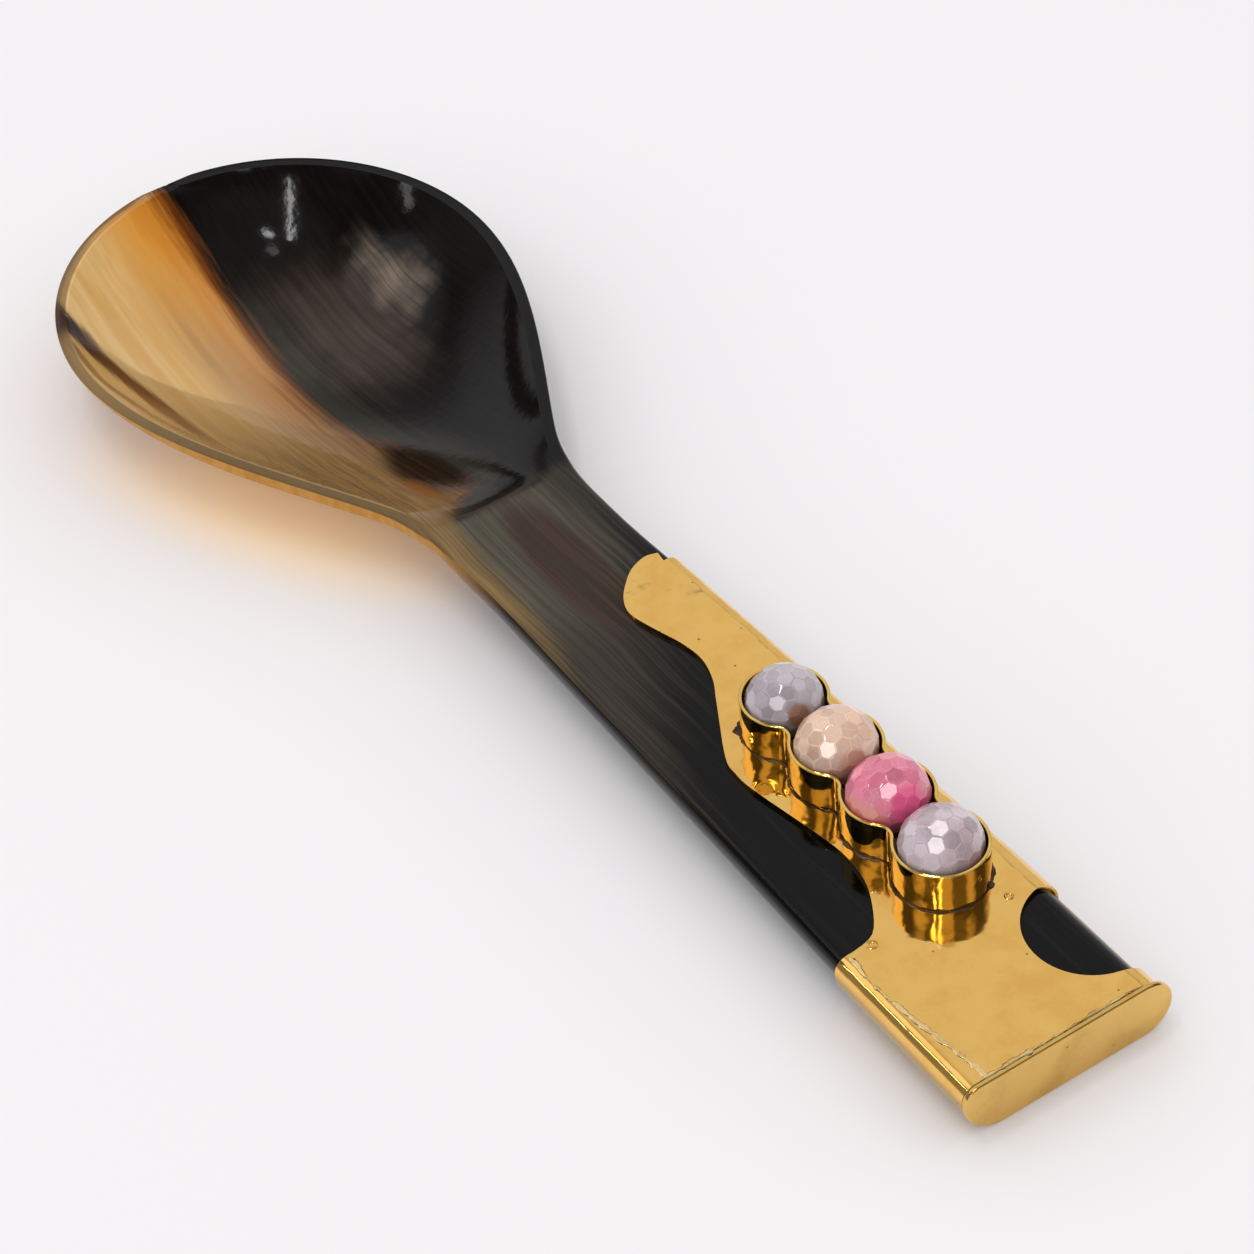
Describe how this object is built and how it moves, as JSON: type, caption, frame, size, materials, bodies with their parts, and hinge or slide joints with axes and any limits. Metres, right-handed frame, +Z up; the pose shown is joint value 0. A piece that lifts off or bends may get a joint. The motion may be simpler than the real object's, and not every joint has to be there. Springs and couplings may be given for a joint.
{
  "type": "horn serving spoon",
  "caption": "Horn serving spoon with an egg-shaped bowl, a folded brass handle mount and faceted stone beads in a scalloped brass bezel.",
  "frame": {"origin": "centre of the bounding box in plan, on the table that the spoon rests on", "axes": "+X along the spoon to the tip of the bowl, +Y to the side with the wavy edge of the brass, +Z up"},
  "size_m": [0.2439, 0.0744, 0.0227],
  "materials": {
    "horn": "polished horn, amber and translucent along one side of the bowl, near black elsewhere",
    "brass_sheet": "hand-polished sheet with fine scratches and small pits",
    "brass_plate": "polished plate, soldered round its edge",
    "brass_bezel": "bright bent strip with a dark solder line at its foot",
    "agate_grey": "faceted and glossy, grey lilac with a brown patch",
    "agate_peach": "faceted and glossy, peach with pale crackle",
    "agate_pink": "faceted and glossy, pink with a deep pink patch",
    "agate_lilac": "faceted and glossy, pale lilac grey",
    "cement": "dull brown setting cement"
  },
  "bodies": {
    "root": {"horn_spoon": "horn", "brass_mount": "brass_sheet", "end_plate": "brass_plate", "bezel_strip": "brass_bezel", "bead_grey": "agate_grey", "bead_peach": "agate_peach", "bead_pink": "agate_pink", "bead_lilac": "agate_lilac", "setting_cement": "cement"}
  },
  "joints": []
}
